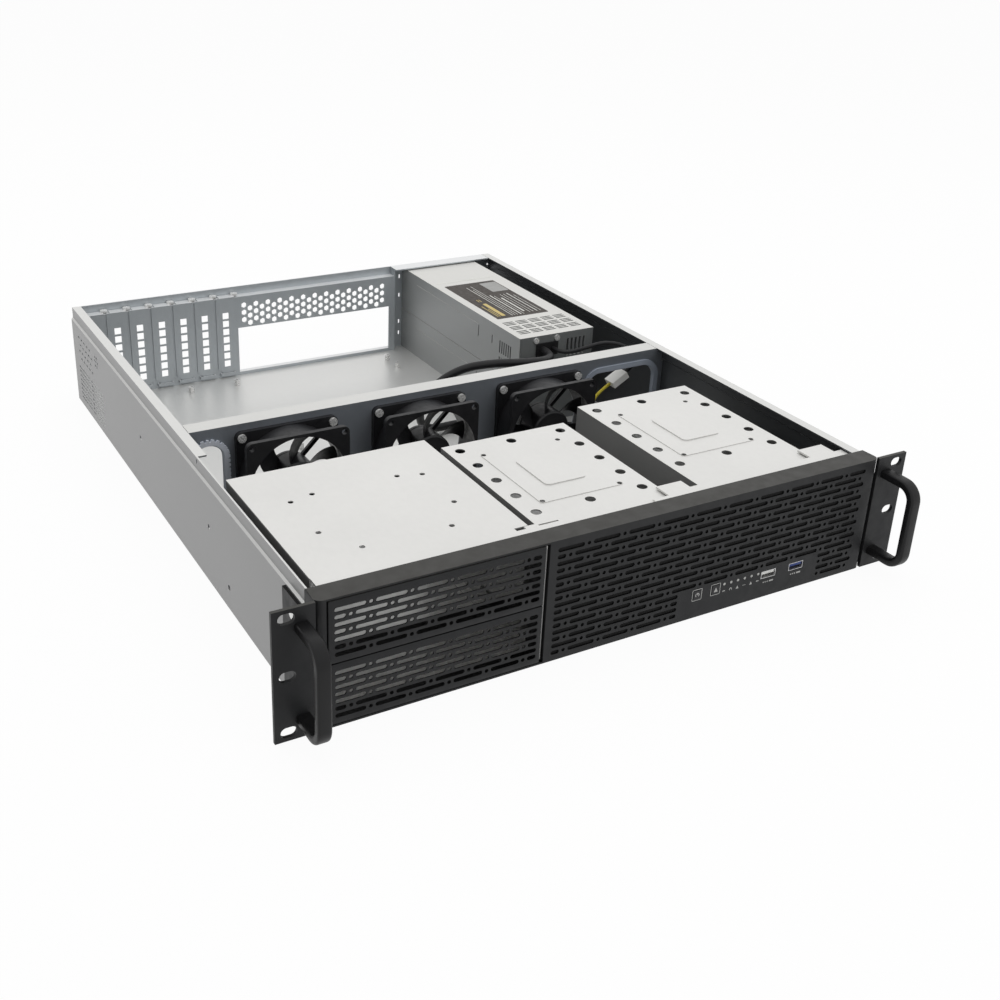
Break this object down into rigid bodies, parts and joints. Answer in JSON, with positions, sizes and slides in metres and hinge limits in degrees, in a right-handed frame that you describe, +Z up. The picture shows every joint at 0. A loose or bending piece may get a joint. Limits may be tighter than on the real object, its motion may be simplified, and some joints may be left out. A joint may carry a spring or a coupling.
{
  "type": "rackmount server case",
  "caption": "Empty rackmount server case without its top cover, with front grille, bay covers, handles, drive brackets, fans and power supply.",
  "frame": {"origin": "middle of the underside of the whole case, handles and rear screws included", "axes": "+X to the right seen from the front, +Y from the front panel to the rear wall, +Z up"},
  "size_m": [0.4826, 0.5782, 0.0881],
  "materials": {
    "tray_steel": "satin",
    "galvanised": "satin",
    "bright_fastener": "gloss",
    "black_panel": "matte",
    "filter": "matte",
    "black_handle": "satin",
    "black_plastic": "matte",
    "circuit_board": "satin",
    "light_guide": "gloss",
    "socket_shell": "satin",
    "pale_trim": "matte",
    "grey_trim": "matte",
    "black_rubber": "matte",
    "black_lead": "satin",
    "pale_plastic": "satin",
    "yellow_lead": "satin"
  },
  "bodies": {
    "case": {"chassis_tray": "tray_steel", "rear_panel": "galvanised", "slot_cover_screws": "bright_fastener", "motherboard_standoffs": "bright_fastener", "front_bezel": "black_panel", "dust_filter": "filter", "bay_cover_lower": "black_panel", "bay_cover_upper": "black_panel", "front_frame": "galvanised", "ear_right": "black_panel", "ear_left": "black_panel", "ear_screws": "bright_fastener", "handle_right": "black_handle", "handle_left": "black_handle", "handle_screws": "bright_fastener", "front_io_board": "circuit_board", "front_io_bracket": "galvanised", "indicator_lights": "light_guide", "usb_port_white": "socket_shell", "usb_port_blue": "socket_shell", "drive_cage": "galvanised", "drive_bracket_middle": "galvanised", "drive_bracket_right": "galvanised", "fan_wall": "galvanised", "cable_trim_left": "pale_trim", "cable_trim_right": "grey_trim", "fan_screws": "bright_fastener", "psu_base": "galvanised", "psu_cover": "galvanised", "psu_inlet": "black_plastic", "psu_grommet": "black_rubber", "psu_screws": "bright_fastener", "psu_fan_frame": "black_plastic", "psu_loom": "black_lead", "power_plug": "pale_plastic", "fan_power_lead": "black_lead", "fan_plug": "pale_plastic", "fan_lead": "yellow_lead", "front_panel_lead": "black_lead", "front_panel_plug": "black_plastic", "slot_cover_1": "galvanised", "slot_cover_2": "galvanised", "slot_cover_3": "galvanised", "slot_cover_4": "galvanised", "slot_cover_5": "galvanised", "slot_cover_6": "galvanised", "slot_cover_7": "galvanised", "fan_1_frame": "black_plastic", "fan_2_frame": "black_plastic", "fan_3_frame": "black_plastic"},
    "fan_1_impeller": {"fan_1_impeller": "black_plastic"},
    "fan_2_impeller": {"fan_2_impeller": "black_plastic"},
    "fan_3_impeller": {"fan_3_impeller": "black_plastic"},
    "power_button": {"power_button": "black_plastic"},
    "psu_fan_impeller": {"psu_fan_impeller": "black_plastic"},
    "reset_button": {"reset_button": "black_plastic"}
  },
  "joints": [
    {"name": "fan_1_spin", "type": "hinge", "parent": "case", "child": "fan_1_impeller", "pos_m": [-0.1325, -0.02405, 0.0415], "axis": [0, 1, 0], "continuous": true},
    {"name": "fan_2_spin", "type": "hinge", "parent": "case", "child": "fan_2_impeller", "pos_m": [-0.023, -0.02405, 0.0415], "axis": [0, 1, 0], "continuous": true},
    {"name": "fan_3_spin", "type": "hinge", "parent": "case", "child": "fan_3_impeller", "pos_m": [0.087, -0.02405, 0.0415], "axis": [0, 1, 0], "continuous": true},
    {"name": "psu_fan_spin", "type": "hinge", "parent": "case", "child": "psu_fan_impeller", "pos_m": [0.15172, 0.27775, 0.056], "axis": [0, 1, 0], "continuous": true},
    {"name": "power_button_push", "type": "slide", "parent": "case", "child": "power_button", "axis": [0, 1, 0], "range_m": [0, 0.0012], "stiffness_N_per_m": 600, "springref_m": -0.0005},
    {"name": "reset_button_push", "type": "slide", "parent": "case", "child": "reset_button", "axis": [0, 1, 0], "range_m": [0, 0.0012], "stiffness_N_per_m": 600, "springref_m": -0.0005}
  ]
}
